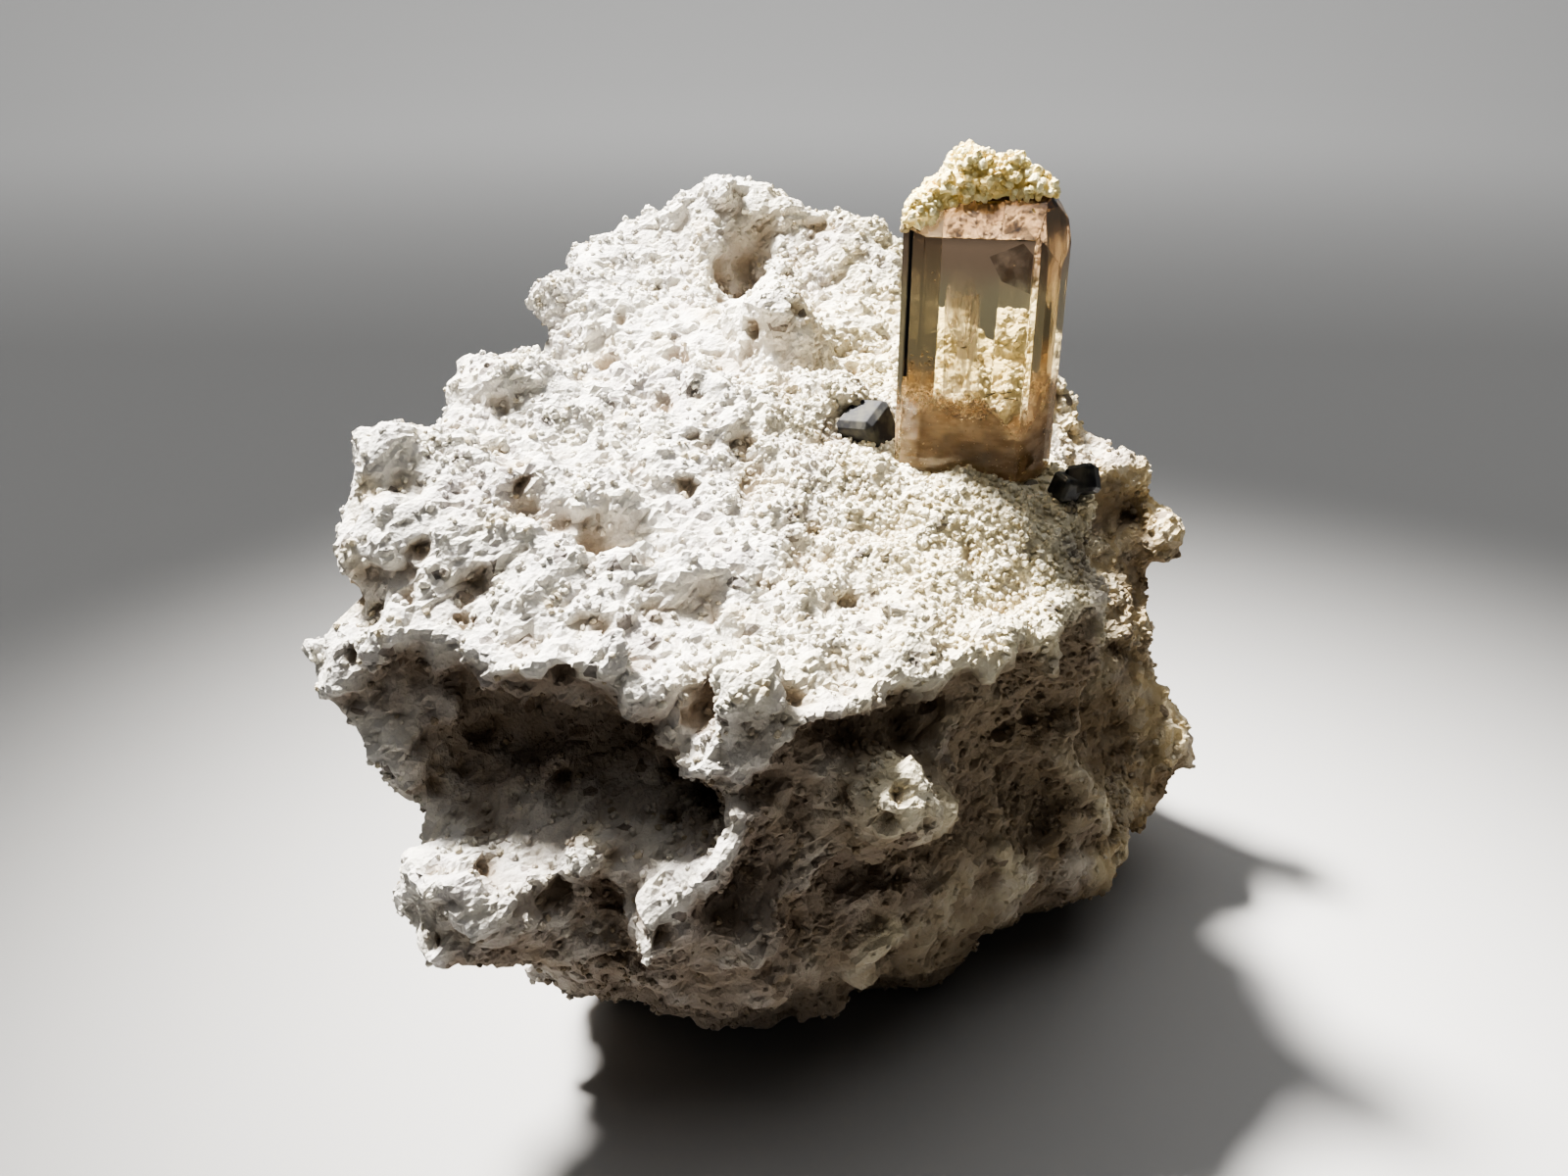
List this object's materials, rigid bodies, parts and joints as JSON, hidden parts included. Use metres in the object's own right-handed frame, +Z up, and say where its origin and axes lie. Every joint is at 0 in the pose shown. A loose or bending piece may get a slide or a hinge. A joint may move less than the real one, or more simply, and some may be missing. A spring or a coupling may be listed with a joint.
{
  "type": "topaz crystal on rhyolite matrix",
  "caption": "Sherry-coloured topaz prism with a crusted tip, standing on a lump of crumbly rhyolite beside small black bixbyite crystals; rests on its flat underside.",
  "frame": {"origin": "on the plane that the matrix rests on, under the middle of the specimen's box", "axes": "+Z up along the topaz, +Y away from the viewer who looks at the topaz's wide face, +X to that viewer's right"},
  "size_m": [0.0425, 0.0395, 0.0402],
  "materials": {
    "rhyolite": "rough, porous and granular, dusty",
    "sherry_topaz": "clear polished crystal faces, cloudy at the root",
    "yellow_crust": "rough, granular",
    "black_bixbyite": "bright metallic faces"
  },
  "bodies": {
    "root": {"matrix": "rhyolite", "topaz": "sherry_topaz", "topaz_crust": "yellow_crust", "bixbyite_left": "black_bixbyite", "bixbyite_right": "black_bixbyite"}
  },
  "joints": []
}
